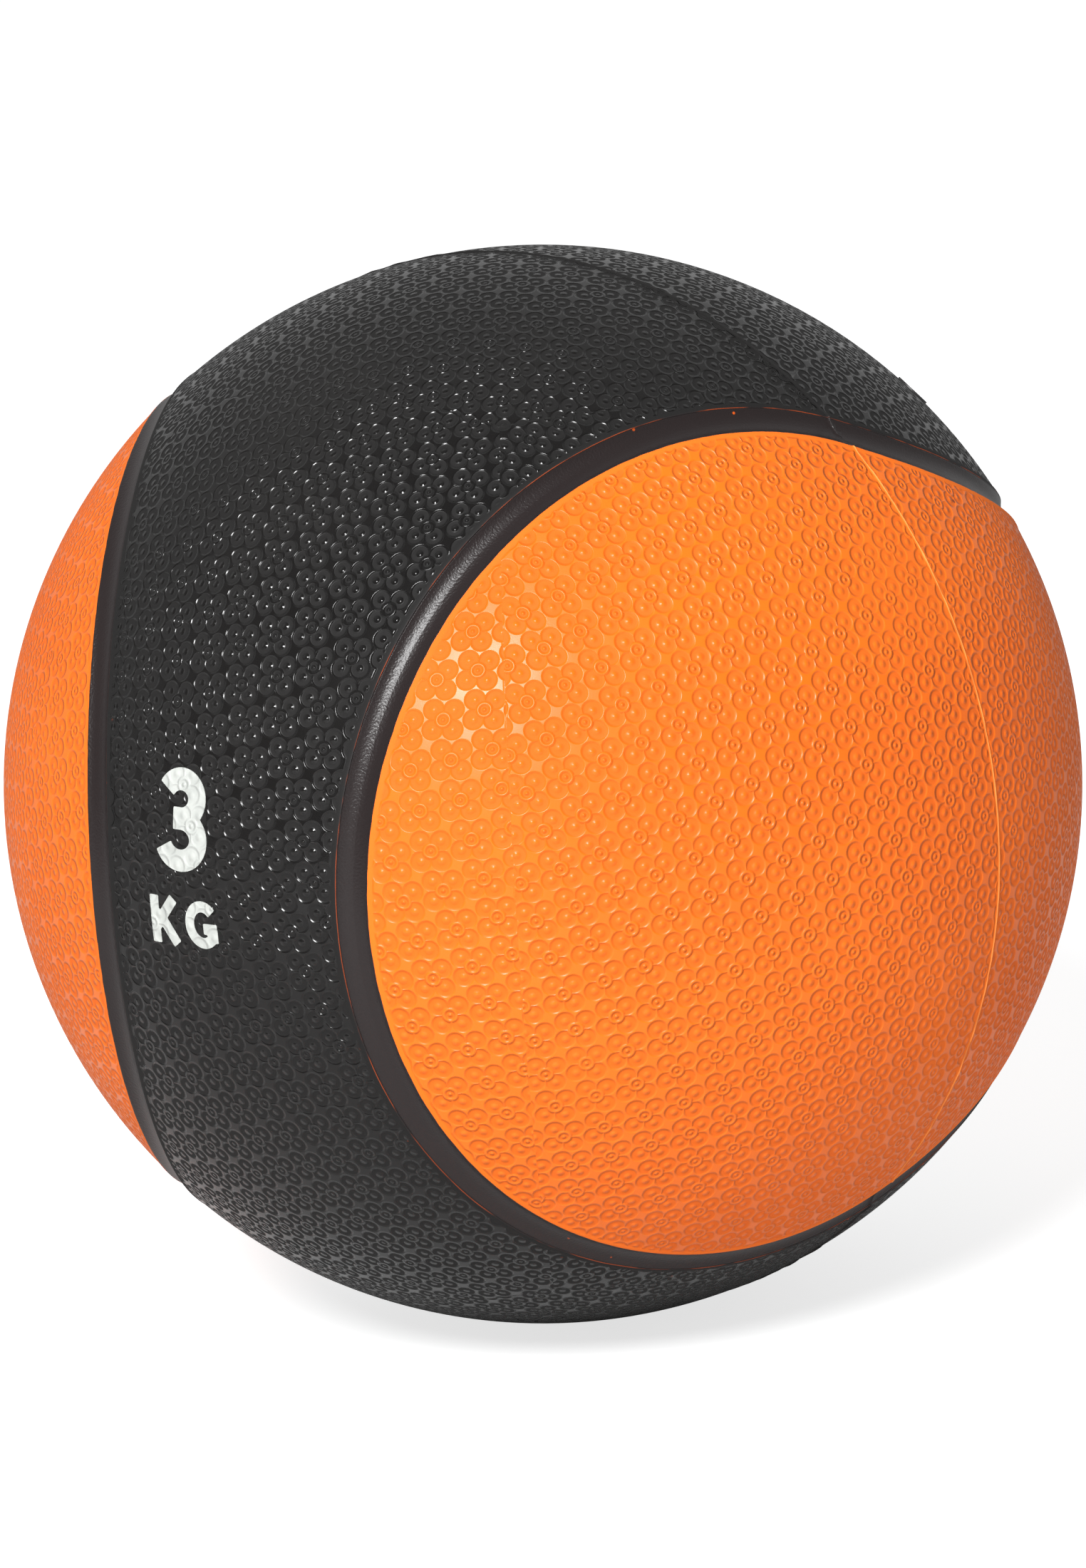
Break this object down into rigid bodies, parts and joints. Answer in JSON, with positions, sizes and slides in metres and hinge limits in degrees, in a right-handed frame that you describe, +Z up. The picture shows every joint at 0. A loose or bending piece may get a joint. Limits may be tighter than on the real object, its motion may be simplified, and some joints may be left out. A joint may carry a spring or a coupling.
{
  "type": "medicine ball",
  "caption": "Round rubber exercise ball with an air-filled core, a heavy wall, a pebbled two-colour cover and an inflation valve.",
  "frame": {"origin": "centre of the ball", "axes": "The parting plane of the mould is XZ. -Y points out of the middle of the black front neck, which runs up along +Z, and +X points to the right of someone who faces the front."},
  "size_m": [0.23, 0.23, 0.23],
  "materials": {
    "orange_rubber": "satin",
    "black_rubber": "satin",
    "filled_rubber": "matte",
    "nylon_thread": "satin",
    "butyl_rubber": "matte",
    "valve_rubber": "satin"
  },
  "bodies": {
    "root": {"orange_cover": "orange_rubber", "black_cover": "black_rubber", "front_weight_layer": "filled_rubber", "rear_weight_layer": "filled_rubber", "thread_winding": "nylon_thread", "bladder": "butyl_rubber", "valve_housing": "valve_rubber", "valve_core": "valve_rubber"}
  },
  "joints": []
}
